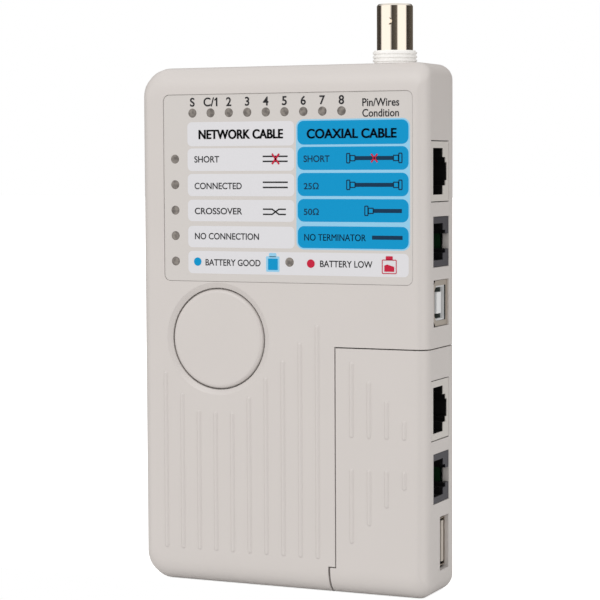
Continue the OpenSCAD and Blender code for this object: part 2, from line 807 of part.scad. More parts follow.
module remote_walls(y0, y1) {
  // left and top walls that close the cut sides of the shell
  box([remote_x, y0, 4], [remote_x + wall, y1, remote_top]);
  box([remote_x, max(y0, y_in + 2.5), 1.2], [remote_x + wall, y1, 4 + e]);
  box([remote_x, y0, remote_top - wall], [x_side_in + e, y1, remote_top]);
}

module remote_front_case() {
  lip = y_in + 0.25;                     // front of the tongue behind the lip
  tongue_x = remote_x - foot_w + 0.05;
  color(shell_color)
    difference() {
      union() {
        difference() {
          intersection() { case_body(0); remote_area(-20, y_part); }
          intersection() {
            cavity();
            box([remote_x + wall, -20, -1], [60, 20, remote_top - wall]);
          }
        }
        remote_walls(y_in - e, y_part);
        for (i = [0:3]) {
          rib(remote_rib_x + i * remote_rib_pitch, 43.1, remote_rib_tops[i]);
          rib(remote_rib_x + i * remote_rib_pitch, remote_rib_bottoms[i], 34.8);
        }
        // tongue and rail that run in the main unit
        box([tongue_x, lip, foot_h - 1], [remote_x + e, y_part, rail_top]);
        box([rail_wall_x - wall - 0.3, -1.4, foot_h], [tongue_x + e, 1.4, rail_top]);
        box([rail_wall_x - wall - 1.7, -3.2, foot_h], [rail_wall_x - wall - 0.3, 3.2, rail_top]);
        for (s = remote_screw_at) rod_y(s[0], s[1], y_in - e, y_part, 2.6);
      }
      for (s = remote_screw_at) rod_y(s[0], s[1], y_part - 7.5, y_part + 1, 1.3);
      port_cuts("remote");
    }
}

module remote_rear_case() {
  tongue_x = remote_x - foot_w + 0.05;
  color(shell_color)
    difference() {
      union() {
        difference() {
          intersection() { case_body(0); remote_area(y_part, 20); }
          intersection() {
            cavity();
            box([remote_x + wall, -20, -1], [60, 20, remote_top - wall]);
          }
        }
        remote_walls(y_part, y_rear_in + e);
        box([tongue_x, y_part, foot_h - 1], [remote_x + e, y_rear_in - 0.25, rail_top]);
        for (s = remote_screw_at) rod_y(s[0], s[1], y_part, y_rear_in + e, 3.4);
      }
      for (s = remote_screw_at) screw_hole(s[0], s[1]);
    }
}

module remote_screws() {
  color("#B9BCC0")
    difference() {
      union() for (s = remote_screw_at) screw(s[0], s[1]);
      for (s = remote_screw_at) screw_slots(s[0], s[1]);
    }
}

module remote_board() {
  color("#2E7D4F")
    difference() {
      box([remote_x + 2.2, board_y, 5], [39.8, board_back, 64.6]);
      for (s = remote_screw_at) rod_y(s[0], s[1], board_y - 1, board_back + 1, 3.6);
      pin_holes(remote_pins);
      box([remote_x + 2, board_y - 1, 4], [22, board_back + 1, 9.7]);
    }
}

module remote_parts() {
  color("#26282B") {
    for (i = [0:7]) chip(19.7, 22 + i * 4.4 * 0.9, 1.7, 3, 1.4);
  }
}

// flat USB socket
module usb_a_shell() {
  x1 = half_w - 1.1;
  z0 = usb_a_z - 6.55;
  z1 = usb_a_z + 6.55;
  color("#CFC7BC")
    difference() {
      box([x1 - 13.5, -1, z0], [x1, 5.3, z1]);
      box([x1 - 12.9, -0.7, z0 + 0.3], [x1 + 1, 5, z1 - 0.3]);
    }
}

module usb_a_insert() {
  x1 = half_w - 1.1;
  color("#8E8C8A") {
    box([x1 - 12.88, -0.68, usb_a_z - 6.2], [x1 - 11, 4.98, usb_a_z + 6.2]);
    box([x1 - 11.1, 2.8, usb_a_z - 5.6], [x1 - 0.05, 4.5, usb_a_z + 5.6]);
  }
}

module usb_a_contacts() {
  x1 = half_w - 1.1;
  color("#D0A850")
    for (i = [0:3])
      box([x1 - 10.9, 2.65, usb_a_z - 4 + i * 2.3],
          [x1 - 1.6, 2.8, usb_a_z - 2.9 + i * 2.3]);
}

front_case();
rear_case();
label_panel();
case_screws();
main_board();
board_parts();
wire_leds();
result_leds();
led_spacers();
switch_body();
bnc_housing();
bnc_barrel();
bnc_insulator();
bnc_contact();
network_jack();
network_contacts();
phone_jack();
phone_contacts();
usb_b_shell();
usb_b_insert();
usb_b_contacts();
battery();
battery_terminals();
battery_snap();
battery_lead_red();
battery_lead_black();
test_button();
switch_plunger();
battery_door();
remote_front_case();
remote_rear_case();
remote_screws();
remote_board();
remote_parts();
remote_network_jack();
remote_network_contacts();
remote_phone_jack();
remote_phone_contacts();
usb_a_shell();
usb_a_insert();
usb_a_contacts();
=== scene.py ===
"""Looks of a hand-held network cable tester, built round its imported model.

Lengths are in metres. Sizes written in millimetres are multiplied by MM.
X points to the socket side, Y to the back and Z up.
"""

import json
import math

import bmesh
import bpy
from mathutils import Matrix, Vector


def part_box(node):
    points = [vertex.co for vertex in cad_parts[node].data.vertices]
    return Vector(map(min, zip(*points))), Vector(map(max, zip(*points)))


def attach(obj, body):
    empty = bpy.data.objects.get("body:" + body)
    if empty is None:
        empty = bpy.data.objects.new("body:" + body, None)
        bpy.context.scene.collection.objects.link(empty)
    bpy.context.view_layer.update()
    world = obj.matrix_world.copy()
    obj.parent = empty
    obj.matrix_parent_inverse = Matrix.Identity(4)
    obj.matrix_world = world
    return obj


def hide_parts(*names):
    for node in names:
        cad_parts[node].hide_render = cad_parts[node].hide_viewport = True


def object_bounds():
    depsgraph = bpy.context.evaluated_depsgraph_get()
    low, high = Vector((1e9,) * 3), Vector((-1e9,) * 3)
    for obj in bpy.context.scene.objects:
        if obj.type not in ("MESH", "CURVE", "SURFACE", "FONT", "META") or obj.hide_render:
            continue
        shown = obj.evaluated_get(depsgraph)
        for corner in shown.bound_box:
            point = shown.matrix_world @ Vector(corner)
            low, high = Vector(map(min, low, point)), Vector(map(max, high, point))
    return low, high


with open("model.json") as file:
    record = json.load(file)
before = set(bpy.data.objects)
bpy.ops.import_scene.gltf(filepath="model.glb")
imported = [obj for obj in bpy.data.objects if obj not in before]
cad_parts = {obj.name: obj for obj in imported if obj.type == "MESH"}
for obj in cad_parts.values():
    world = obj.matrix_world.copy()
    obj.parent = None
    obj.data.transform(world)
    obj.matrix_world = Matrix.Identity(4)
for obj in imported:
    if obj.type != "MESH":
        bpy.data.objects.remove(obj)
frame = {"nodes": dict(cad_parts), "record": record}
cad_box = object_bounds()

MM = 0.001
NODES = frame["nodes"]
BODY_OF = {
    node: body
    for body, nodes in frame["record"]["behaviour"]["bodies"].items()
    for node in nodes
}
LABEL_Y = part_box("label_panel")[0].y
RIGHT_WALL = cad_box[1].x
WELD = 0.002 * MM


# ---------------------------------------------------------------- node trees


def linear(hex_code):
    """Linear RGBA of an sRGB hex colour."""
    channels = [int(hex_code[i : i + 2], 16) / 255 for i in (1, 3, 5)]
    curve = [c / 12.92 if c <= 0.04045 else ((c + 0.055) / 1.055) ** 2.4 for c in channels]
    return (*curve, 1.0)


def add(tree, kind, inputs=None, **settings):
    """Adds a node; an input given a socket is linked, any other value is set."""
    node = tree.nodes.new(kind)
    for name, value in settings.items():
        setattr(node, name, value)
    for name, value in (inputs or {}).items():
        if isinstance(value, bpy.types.NodeSocket):
            tree.links.new(value, node.inputs[name])
        else:
            node.inputs[name].default_value = value
    return node


def new_finish(name, colour, roughness, **sockets):
    """A material with one principled shader, its tree and the shader node."""
    finish = bpy.data.materials.new(name)
    finish.use_nodes = True
    tree = finish.node_tree
    shader = tree.nodes["Principled BSDF"]
    shader.inputs["Base Color"].default_value = linear(colour)
    shader.inputs["Roughness"].default_value = roughness
    for socket, value in sockets.items():
        shader.inputs[socket.replace("_", " ")].default_value = value
    return finish, tree, shader


def moulded_abs(name, colour, roughness=0.42, grain=0.35, depth=0.012):
    """ABS from a spark-eroded mould: a fine, even grain that spreads highlights.

    The real grain is near 0.1 mm; it is drawn at grain mm so that it shows.
    """
    finish, tree, shader = new_finish(name, colour, roughness, IOR=1.53)
    place = add(tree, "ShaderNodeTexCoord")
    pits = add(
        tree,
        "ShaderNodeTexNoise",
        {"Vector": place.outputs["Object"], "Scale": 1 / (grain * MM), "Detail": 2.0},
    )
    tone = add(
        tree,
        "ShaderNodeTexNoise",
        {"Vector": place.outputs["Object"], "Scale": 1 / (14 * MM), "Detail": 1.0},
    )
    darker, lighter = (tuple(c * k for c in linear(colour)[:3]) + (1,) for k in (0.985, 1.015))
    tint = add(
        tree,
        "ShaderNodeMix",
        {"Factor": tone.outputs["Fac"], 6: darker, 7: lighter},
        data_type="RGBA",
    )
    tree.links.new(tint.outputs[2], shader.inputs["Base Color"])
    soft_edge = add(tree, "ShaderNodeBevel", {"Radius": 0.22 * MM}, samples=4)
    bump = add(
        tree,
        "ShaderNodeBump",
        {
            "Height": pits.outputs["Fac"],
            "Strength": 0.5,
            "Distance": depth * MM,
            "Normal": soft_edge.outputs["Normal"],
        },
    )
    tree.links.new(bump.outputs["Normal"], shader.inputs["Normal"])
    return finish


def vary_gloss(finish_parts, roughness, patch, low=0.8, high=1.25):
    """Lets the gloss of a finish wander, in patches of a size in millimetres."""
    finish, tree, shader = finish_parts
    place = add(tree, "ShaderNodeTexCoord")
    patches = add(
        tree,
        "ShaderNodeTexNoise",
        {"Vector": place.outputs["Object"], "Scale": 1 / (patch * MM), "Detail": 3.0},
    )
    spread = add(
        tree,
        "ShaderNodeMapRange",
        {
            "Value": patches.outputs["Fac"],
            "To Min": roughness * low,
            "To Max": roughness * high,
        },
    )
    tree.links.new(spread.outputs["Result"], shader.inputs["Roughness"])
    return finish


def screen_ink(name, colour, roughness=0.6):
    """Screen-printing ink: thin and matt, so its colours stay full."""
    parts = new_finish(name, colour, roughness, IOR=1.5, Specular_IOR_Level=0.15)
    return vary_gloss(parts, roughness, 0.5)


def plated_metal(name, colour, roughness):
    """Barrel-plated metal: smooth, with very faint tumbling marks."""
    return vary_gloss(new_finish(name, colour, roughness, Metallic=1.0), roughness, 0.8)


def plain_plastic(name, colour, roughness=0.45):
    """Moulded in a polished tool: no grain, and a gloss that wanders a little."""
    return vary_gloss(new_finish(name, colour, roughness, IOR=1.5), roughness, 2.5)


def tinted_film(name, dark, light):
    """Smoke-tinted film over a lamp: the lamp behind shows as soft blotches."""
    finish, tree, shader = new_finish(name, light, 0.3, IOR=1.5)
    place = add(tree, "ShaderNodeTexCoord")
    blotch = add(
        tree,
        "ShaderNodeTexNoise",
        {"Vector": place.outputs["Object"], "Scale": 1 / (1.1 * MM), "Detail": 1.0},
    )
    spread = add(
        tree,
        "ShaderNodeMapRange",
        {"Value": blotch.outputs["Fac"], "From Min": 0.35, "From Max": 0.65},
    )
    tint = add(
        tree,
        "ShaderNodeMix",
        {"Factor": spread.outputs[0], 6: linear(dark), 7: linear(light)},
        data_type="RGBA",
    )
    tree.links.new(tint.outputs[2], shader.inputs["Base Color"])
    return finish


def paint_shade_inside(finish_parts, face, inside, depth):
    """Face colour down to a depth behind the right wall, and a painted shade colour beyond.

    Sockets get little light deep in, so their dark there is painted into the colour as shade. This
    gives their openings a crisp rim.
    """
    finish, tree, shader = finish_parts
    place = add(tree, "ShaderNodeTexCoord")
    across = add(tree, "ShaderNodeSeparateXYZ", {"Vector": place.outputs["Object"]})
    outer = add(
        tree,
        "ShaderNodeMath",
        {0: across.outputs["X"], 1: RIGHT_WALL - depth * MM},
        operation="GREATER_THAN",
    )
    # painted shade: the second colour stands for the little light that reaches deep into the socket
    face_or_painted_shade = add(
        tree,
        "ShaderNodeMix",
        {"Factor": outer.outputs[0], 6: linear(inside), 7: linear(face)},
        data_type="RGBA",
    )
    tree.links.new(face_or_painted_shade.outputs[2], shader.inputs["Base Color"])
    return finish


def socket_plastic(name, face, inside, depth, roughness=0.45):
    """Moulded nylon socket part: plain and satin, with painted shade beyond the given depth."""
    return paint_shade_inside(new_finish(name, face, roughness, IOR=1.5), face, inside, depth)


def socket_metal(name, face, inside, depth):
    """Stamped and tinned steel shell: dull, with no clear reflections, and with painted shade
    beyond the given depth.
    """
    return paint_shade_inside(new_finish(name, face, 0.4, Metallic=1.0), face, inside, depth)


FINISH = {
    # spark-eroded mould texture: an even, soft grey with no clear highlight
    "case": moulded_abs("moulded_abs_light_grey", "#CFCAC7"),
    "button": moulded_abs("moulded_abs_button", "#CFCAC7", roughness=0.38, depth=0.006),
    # fine-textured film: a little glossier and flatter than the case round it
    "label": plain_plastic("polycarbonate_label_film", "#CECAC7", 0.42),
    "window": tinted_film("tinted_lamp_window", "#5E5955", "#87817B"),
    # socket mouths: a clean rim round a hole, whose dark beyond the given depth is painted shade
    "socket": socket_plastic("nylon_socket_light_grey", "#D0CCC7", "#0A0A0A", 0.3),
    "dark_socket": socket_plastic("nylon_socket_dark_grey", "#35343C", "#0F0F11", 0.3),
    "usb_white": socket_plastic("nylon_insert_white", "#EDEFF0", "#5E6663", 1.9),
    "usb_frame": socket_metal("tinned_steel_frame", "#CFC6BB", "#37332F", 0.45),
    "usb_shell": socket_metal("tinned_steel_shell", "#BDB2A6", "#4A443E", 1.5),
    "usb_tongue": socket_plastic("nylon_tongue_beige", "#CBC3B9", "#2E2C2A", 2.3),
    # smooth mouldings: crisp edges and an even sheen
    "white": plain_plastic("acetal_white", "#FBFAF8", 0.4),
    "black": plain_plastic("moulded_epoxy_black", "#1E1F21", 0.5),
    # plated parts: sharp stripes of light and dark on the round barrel
    "nickel": plated_metal("nickel_plate", "#EFE8DC", 0.1),
    "gold": plated_metal("gold_plate", "#E2BC63", 0.22),
    "zinc": plated_metal("zinc_plated_steel", "#B9BCC0", 0.32),
    # parts that show through openings or with the battery door off
    "lamp": plain_plastic("epoxy_lamp_lens", "#A39D97", 0.18),
    "board": plain_plastic("solder_resist_green", "#14371F", 0.35),
    "battery": plain_plastic("enamelled_battery_can", "#33383D", 0.35),
    "red_wire": plain_plastic("pvc_insulation_red", "#B3262B", 0.45),
    # printing: matt, so that it looks the same from every side
    "white_ink": screen_ink("ink_panel_white", "#DCDCE0"),
    "blue_ink": screen_ink("ink_panel_blue", "#0094CB"),
    "cyan_ink": screen_ink("ink_border_cyan", "#93CCEA"),
    "dark_ink": screen_ink("ink_black", "#2B2B2E"),
    "navy_ink": screen_ink("ink_navy", "#0B3350"),
    "red_ink": screen_ink("ink_red", "#C3213F"),
}


# ------------------------------------------------------------ making a piece


def finish_piece(name, mesh, body, finish, replaced=()):
    """Links a mesh as a piece that rides on a body and stands for CAD nodes."""
    piece = bpy.data.objects.new(name, mesh)
    bpy.context.scene.collection.objects.link(piece)
    mesh.materials.clear()
    mesh.materials.append(FINISH[finish])
    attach(piece, body)
    if replaced:
        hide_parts(*replaced)
    return piece


def evaluated_mesh(holder):
    """Plain mesh of an object with its modifiers; the object is then removed."""
    graph = bpy.context.evaluated_depsgraph_get()
    mesh = bpy.data.meshes.new_from_object(holder.evaluated_get(graph))
    bpy.data.objects.remove(holder)
    return mesh


def corner_angle(mesh, face, place):
    """Angle of a face at one of its corners."""
    verts = [mesh.vertices[i].co for i in face.vertices]
    here = verts[place]
    return (verts[place - 1] - here).angle(verts[(place + 1) % len(verts)] - here, 0.0)


def shade_round(mesh, limit_deg):
    """Blends normals of faces that meet below the limit; flat faces stay flat."""
    around = [[] for _ in mesh.vertices]
    for face in mesh.polygons:
        for place, vertex in enumerate(face.vertices):
            weight = face.area * corner_angle(mesh, face, place)
            around[vertex].append((face.normal.copy(), weight))
    least = math.cos(math.radians(limit_deg))
    normals = [None] * len(mesh.loops)
    for face in mesh.polygons:
        for loop, vertex in zip(face.loop_indices, face.vertices):
            near = [n * w for n, w in around[vertex] if n.dot(face.normal) > least]
            blend = sum(near, Vector())
            normals[loop] = (blend if blend.length > 0 else face.normal).normalized()
    mesh.normals_split_custom_set(normals)


def smooth_copy(node, finish, limit_deg=24):
    """Copy of a CAD node, welded, with round faces shaded round."""
    mesh = NODES[node].data.copy()
    shape = bmesh.new()
    shape.from_mesh(mesh)
    bmesh.ops.remove_doubles(shape, verts=shape.verts, dist=WELD)
    bmesh.ops.dissolve_degenerate(shape, edges=shape.edges, dist=0.001 * MM)
    for face in shape.faces:
        face.smooth = True
    shape.to_mesh(mesh)
    shape.free()
    shade_round(mesh, limit_deg)
    finish_piece(node + "_look", mesh, BODY_OF[node], finish, [node])


def solids_of(node):
    """(low, high) corners of each separate solid in a CAD node."""
    shape = bmesh.new()
    shape.from_mesh(NODES[node].data)
    bmesh.ops.remove_doubles(shape, verts=shape.verts, dist=WELD)
    waiting = set(shape.verts)
    boxes = []
    while waiting:
        edge_of = [waiting.pop()]
        low, high = edge_of[0].co.copy(), edge_of[0].co.copy()
        while edge_of:
            vert = edge_of.pop()
            low = Vector(map(min, low, vert.co))
            high = Vector(map(max, high, vert.co))
            for edge in vert.link_edges:
                other = edge.other_vert(vert)
                if other in waiting:
                    waiting.remove(other)
                    edge_of.append(other)
        boxes.append((low, high))
    shape.free()
    return sorted(boxes, key=lambda b: (round(b[0].z, 4), round(b[0].x, 4)))


# --------------------------------------------------- repeated parts, by rule


def new_tree(name, lengths, vectors=()):
    """Geometry tree with points, named lengths and vectors, and a finish going in."""
    tree = bpy.data.node_groups.new(name, "GeometryNodeTree")
    face = tree.interface
    face.new_socket("Geometry", in_out="INPUT", socket_type="NodeSocketGeometry")
    for title in lengths:
        face.new_socket(title, in_out="INPUT", socket_type="NodeSocketFloat")
    for title in vectors:
        face.new_socket(title, in_out="INPUT", socket_type="NodeSocketVector")
    face.new_socket("Finish", in_out="INPUT", socket_type="NodeSocketMaterial")
    face.new_socket("Geometry", in_out="OUTPUT", socket_type="NodeSocketGeometry")
    return tree, tree.nodes.new("NodeGroupInput")


def close_tree(tree, given, shape, turn=(0, 0, 0)):
    """Puts the shape on every point, makes it real and gives it the finish."""
    placed = add(
        tree,
        "GeometryNodeInstanceOnPoints",
        {"Points": given.outputs["Geometry"], "Instance": shape, "Rotation": turn},
    )
    real = add(tree, "GeometryNodeRealizeInstances", {"Geometry": placed.outputs["Instances"]})
    painted = add(
        tree,
        "GeometryNodeSetMaterial",
        {"Geometry": real.outputs["Geometry"], "Material": given.outputs["Finish"]},
    )
    end = tree.nodes.new("NodeGroupOutput")
    tree.links.new(painted.outputs["Geometry"], end.inputs["Geometry"])
    return tree


def screw_blank(tree, size):
    """Head of a screw before its recess: a disc with a smaller cone on it."""
    head = add(
        tree,
        "GeometryNodeMeshCylinder",
        {"Vertices": 32, "Radius": size["Head radius"], "Depth": size["Head height"]},
    )
    crown = add(
        tree,
        "GeometryNodeMeshCone",
        {
            "Vertices": 32,
            "Radius Bottom": size["Head radius"],
            "Radius Top": size["Crown radius"],
            "Depth": size["Crown height"],
        },
    )
    crown_up = add(
        tree,
        "GeometryNodeTransform",
        {"Geometry": crown.outputs["Mesh"], "Translation": size["Crown place"]},
    )
    blank = add(
        tree,
        "GeometryNodeMeshBoolean",
        {"Mesh 2": head.outputs["Mesh"]},
        operation="UNION",
        solver="EXACT",
    )
    tree.links.new(crown_up.outputs["Geometry"], blank.inputs["Mesh 2"])
    return blank.outputs["Mesh"]


def screw_tree():
    """Pan-head screw, head towards +Z, with a cross recess in its head."""
    tree, given = new_tree(
        "self_tapping_screws",
        ["Head radius", "Head height", "Crown radius", "Crown height", "Shank radius", "Length"],
        ["Crown place", "First bar", "Second bar", "Bar place", "Shank place"],
    )
    size = given.outputs
    cross_bars = add(tree, "GeometryNodeJoinGeometry")
    for title in ("First bar", "Second bar"):
        bar = add(tree, "GeometryNodeMeshCube", {"Size": size[title]})
        bar_up = add(
            tree,
            "GeometryNodeTransform",
            {"Geometry": bar.outputs["Mesh"], "Translation": size["Bar place"]},
        )
        tree.links.new(bar_up.outputs["Geometry"], cross_bars.inputs["Geometry"])
    cut = add(
        tree,
        "GeometryNodeMeshBoolean",
        {"Mesh 1": screw_blank(tree, size), "Mesh 2": cross_bars.outputs["Geometry"]},
        operation="DIFFERENCE",
        solver="EXACT",
    )
    shank = add(
        tree,
        "GeometryNodeMeshCylinder",
        {"Vertices": 24, "Radius": size["Shank radius"], "Depth": size["Length"]},
    )
    shank_down = add(
        tree,
        "GeometryNodeTransform",
        {"Geometry": shank.outputs["Mesh"], "Translation": size["Shank place"]},
    )
    whole = add(tree, "GeometryNodeJoinGeometry", {"Geometry": cut.outputs["Mesh"]})
    tree.links.new(shank_down.outputs["Geometry"], whole.inputs["Geometry"])
    return close_tree(tree, given, whole.outputs["Geometry"], (-math.pi / 2, 0, 0))


def lamp_tree():
    """Round-topped epoxy lamp, its dome towards the front."""
    tree, given = new_tree(
        "epoxy_lamps",
        ["Radius", "Length", "Rim radius", "Rim height"],
        ["Barrel place", "Rim place"],
    )
    size = given.outputs
    dome = add(
        tree, "GeometryNodeMeshUVSphere", {"Segments": 32, "Rings": 16, "Radius": size["Radius"]}
    )
    barrel = add(
        tree,
        "GeometryNodeMeshCylinder",
        {"Vertices": 32, "Radius": size["Radius"], "Depth": size["Length"]},
    )
    rim = add(
        tree,
        "GeometryNodeMeshCylinder",
        {"Vertices": 32, "Radius": size["Rim radius"], "Depth": size["Rim height"]},
    )
    whole = add(tree, "GeometryNodeJoinGeometry", {"Geometry": dome.outputs["Mesh"]})
    for part, place in ((barrel, "Barrel place"), (rim, "Rim place")):
        lowered = add(
            tree,
            "GeometryNodeTransform",
            {"Geometry": part.outputs["Mesh"], "Translation": size[place]},
        )
        tree.links.new(lowered.outputs["Geometry"], whole.inputs["Geometry"])
    smooth = add(tree, "GeometryNodeSetShadeSmooth", {"Geometry": whole.outputs["Geometry"]})
    return close_tree(tree, given, smooth.outputs["Geometry"], (math.pi / 2, 0, 0))


def window_tree():
    """Shallow lens of label film over a lamp."""
    tree, given = new_tree("film_windows", ["Radius"], ["Bulge"])
    size = given.outputs
    ball = add(
        tree, "GeometryNodeMeshUVSphere", {"Segments": 32, "Rings": 16, "Radius": size["Radius"]}
    )
    flat = add(
        tree,
        "GeometryNodeTransform",
        {"Geometry": ball.outputs["Mesh"], "Scale": size["Bulge"]},
    )
    smooth = add(tree, "GeometryNodeSetShadeSmooth", {"Geometry": flat.outputs["Geometry"]})
    return close_tree(tree, given, smooth.outputs["Geometry"])


def contact_tree():
    """Sprung socket wire: it enters at the mouth and bows into the plug space."""
    tree, given = new_tree("sprung_contacts", ["Wire radius"], ["Mouth", "Bow", "Tip"])
    size = given.outputs
    bow = add(
        tree,
        "GeometryNodeCurveQuadraticBezier",
        {"Resolution": 10, "Start": size["Mouth"], "Middle": size["Bow"], "End": size["Tip"]},
    )
    ring = add(
        tree, "GeometryNodeCurvePrimitiveCircle", {"Resolution": 10, "Radius": size["Wire radius"]}
    )
    wire = add(
        tree,
        "GeometryNodeCurveToMesh",
        {
            "Curve": bow.outputs["Curve"],
            "Profile Curve": ring.outputs["Curve"],
            "Fill Caps": True,
        },
    )
    smooth = add(tree, "GeometryNodeSetShadeSmooth", {"Geometry": wire.outputs["Mesh"]})
    return close_tree(tree, given, smooth.outputs["Geometry"])


def grow(name, tree, points, sizes, finish, replaced, body=None):
    """One plain mesh of a tree's shape on every point, in place of CAD nodes."""
    seed = bpy.data.meshes.new(name + "_points")
    seed.from_pydata([tuple(p) for p in points], [], [])
    holder = bpy.data.objects.new(name + "_points", seed)
    bpy.context.scene.collection.objects.link(holder)
    rule = holder.modifiers.new("rule", "NODES")
    rule.node_group = tree
    given = {**sizes, "Finish": FINISH[finish]}
    for item in tree.interface.items_tree:
        if item.in_out == "INPUT" and item.name in given:
            rule[item.identifier] = given[item.name]
    finish_piece(name, evaluated_mesh(holder), body or BODY_OF[replaced[0]], finish, replaced)


def grow_screws(tree, node):
    """Screws in place of a node's plain ones, pushed in from the back."""
    boxes = solids_of(node)
    low, high = boxes[0]
    radius = (high.x - low.x) / 2
    height = 1.2 * MM
    length = high.y - low.y - height
    slot, reach = 0.65 * MM, radius * 1.15
    points = [((a.x + b.x) / 2, b.y - 1.0 * MM, (a.z + b.z) / 2) for a, b in boxes]
    sizes = {
        "Head radius": radius,
        "Head height": height,
        "Crown radius": radius * 0.72,
        "Crown height": height * 0.35,
        "Crown place": (0, 0, height * 0.5),
        "First bar": (reach, slot, height),
        "Second bar": (slot, reach, height),
        "Bar place": (0, 0, height * 0.75),
        "Shank radius": 1.2 * MM,
        "Length": length,
        "Shank place": (0, 0, -length / 2),
    }
    grow(node + "_look", tree, points, sizes, "zinc", [node])


def grow_lamps(tree, node):
    """Domed lamps in place of a node's plain ones."""
    boxes = solids_of(node)
    low, high = boxes[0]
    rim = (high.x - low.x) / 2
    radius = rim - 0.3 * MM
    length = 3.5 * MM
    points = [((a.x + b.x) / 2, a.y + radius, (a.z + b.z) / 2) for a, b in boxes]
    sizes = {
        "Radius": radius,
        "Length": length,
        "Barrel place": (0, 0, -length / 2),
        "Rim radius": rim,
        "Rim height": radius * 0.6,
        "Rim place": (0, 0, -length * 0.93),
    }
    grow(node + "_look", tree, points, sizes, "lamp", [node])


def grow_windows(tree):
    """Film windows over all lamps, level with the label's face."""
    points = [
        ((low.x + high.x) / 2, LABEL_Y + 0.05 * MM, (low.z + high.z) / 2)
        for node in ("wire_leds", "result_leds")
        for low, high in solids_of(node)
    ]
    sizes = {"Radius": 1.26 * MM, "Bulge": (1, 0.11, 1)}
    grow("lamp_windows", tree, points, sizes, "window", (), BODY_OF["label_panel"])


def grow_contacts(tree, node):
    """Bowed wires in place of a socket's straight contacts."""
    boxes = solids_of(node)
    low, high = boxes[0]
    reach = high.x - low.x - 0.5 * MM
    drop = high.y - low.y - 0.4 * MM
    points = [((a.x + b.x) / 2, a.y + 0.2 * MM, (a.z + b.z) / 2) for a, b in boxes]
    sizes = {
        "Mouth": (reach * 0.5, 0, 0),
        "Bow": (reach * -0.1, 0, 0),
        "Tip": (reach * -0.5, drop, 0),
        "Wire radius": 0.2 * MM,
    }
    grow(node + "_look", tree, points, sizes, "gold", [node])


# ------------------------------------------------------------ printed label

INK = 0.02 * MM  # thickness of the printing

# places on the label in millimetres: panel sides, panel rows and text lines
WHITE_X = (-27.9, 4.3)
BLUE_X = (5.3, 37.3)
WHITE_ROWS = ((121.6, 128.2), (114.8, 121.0), (107.9, 114.0), (101.0, 106.9), (93.8, 99.7))
BLUE_ROWS = ((121.8, 128.2), (115.0, 121.2), (108.0, 114.2), (101.1, 107.2), (94.0, 99.9))
CABLE_Z = (118.1, 111.0, 104.1, 97.0)
TEXT_Z = ((117.1, 118.9), (109.8, 111.6), (102.9, 104.7), (96.0, 97.8))
BATTERY_ROW = (86.6, 92.8)
BORDER = 0.4
PLUG_LINE = 0.3


def round_rect(x0, x1, z0, z1, r, steps=8):
    """Outline of a rounded rectangle in the label's plane, in millimetres."""
    left, right, low, high = x0 + r, x1 - r, z0 + r, z1 - r
    corners = ((right, high, 0), (left, high, 90), (left, low, 180), (right, low, 270))
    return [
        (
            cx + r * math.cos(math.radians(start + 90 * i / steps)),
            cz + r * math.sin(math.radians(start + 90 * i / steps)),
        )
        for cx, cz, start in corners
        for i in range(steps + 1)
    ]


def disc(x, z, r, steps=28):
    """Outline of a round spot."""
    turns = [2 * math.pi * i / steps for i in range(steps)]
    return [(x + r * math.cos(a), z + r * math.sin(a)) for a in turns]


def stroke(x0, z0, x1, z1, width):
    """Outline of a straight stroke with square ends."""
    along = Vector((x1 - x0, z1 - z0)).normalized() * (width / 2)
    side = Vector((-along.y, along.x))
    start, end = Vector((x0, z0)), Vector((x1, z1))
    return [tuple(p) for p in (start - side, end - side, end + side, start + side)]


def flat_mesh(loops, thickness):
    """Closed thin plate from outlines in millimetres; inner outlines are holes."""
    curve = bpy.data.curves.new("print", "CURVE")
    curve.dimensions = "2D"
    curve.fill_mode = "BOTH"
    curve.extrude = thickness / 2
    for loop in loops:
        spline = curve.splines.new("POLY")
        spline.points.add(len(loop) - 1)
        for point, (x, z) in zip(spline.points, loop):
            point.co = (x * MM, z * MM, 0, 1)
        spline.use_cyclic_u = True
    return curve_mesh(curve)


def curve_mesh(curve):
    """Plain mesh of a curve or of lettering."""
    holder = bpy.data.objects.new("print", curve)
    bpy.context.scene.collection.objects.link(holder)
    return evaluated_mesh(holder)


def text_mesh(words, x, z0, z1, thickness, align="left", width=None, bold=0.014):
    """Lettering whose capitals reach from z0 to z1; x and sizes in millimetres."""
    curve = bpy.data.curves.new("print", "FONT")
    curve.body = words
    curve.size = 1.0
    curve.offset = bold
    curve.extrude = 0.05
    mesh = curve_mesh(curve)
    xs = [v.co.x for v in mesh.vertices]
    ys = [v.co.y for v in mesh.vertices]
    tall = (z1 - z0) * MM / (max(ys) - min(ys))
    wide = width * MM / (max(xs) - min(xs)) if width else tall
    shift = {"left": -min(xs), "centre": -(min(xs) + max(xs)) / 2}[align]
    for v in mesh.vertices:
        v.co.x = (v.co.x + shift) * wide + x * MM
        v.co.y = (v.co.y - min(ys)) * tall + z0 * MM
        v.co.z = math.copysign(thickness / 2, v.co.z)
    return mesh


def struck_twice(place, look, apart=0.16):
    """A heading as two strikes side by side, which makes its strokes bold."""
    words, x, z0, z1 = place
    return [((words, x + dx, z0, z1), look) for dx in (-apart / 2, apart / 2)]


def print_piece(name, finish, lift, shapes=(), texts=()):
    """Printing of one ink as one piece, lift millimetres above the label."""
    joined = bmesh.new()
    for loops in shapes:
        joined.from_mesh(flat_mesh(loops, INK))
    for place, look in texts:
        joined.from_mesh(text_mesh(*place, thickness=INK, **look))
    bmesh.ops.remove_doubles(joined, verts=joined.verts, dist=0.003 * MM)
    upright = Matrix.Translation((0, LABEL_Y - lift * MM, 0)) @ Matrix.Rotation(math.pi / 2, 4, "X")
    joined.transform(upright)
    bmesh.ops.recalc_face_normals(joined, faces=joined.faces)
    mesh = bpy.data.meshes.new(name)
    joined.to_mesh(mesh)
    joined.free()
    finish_piece(name, mesh, BODY_OF["label_panel"], finish)


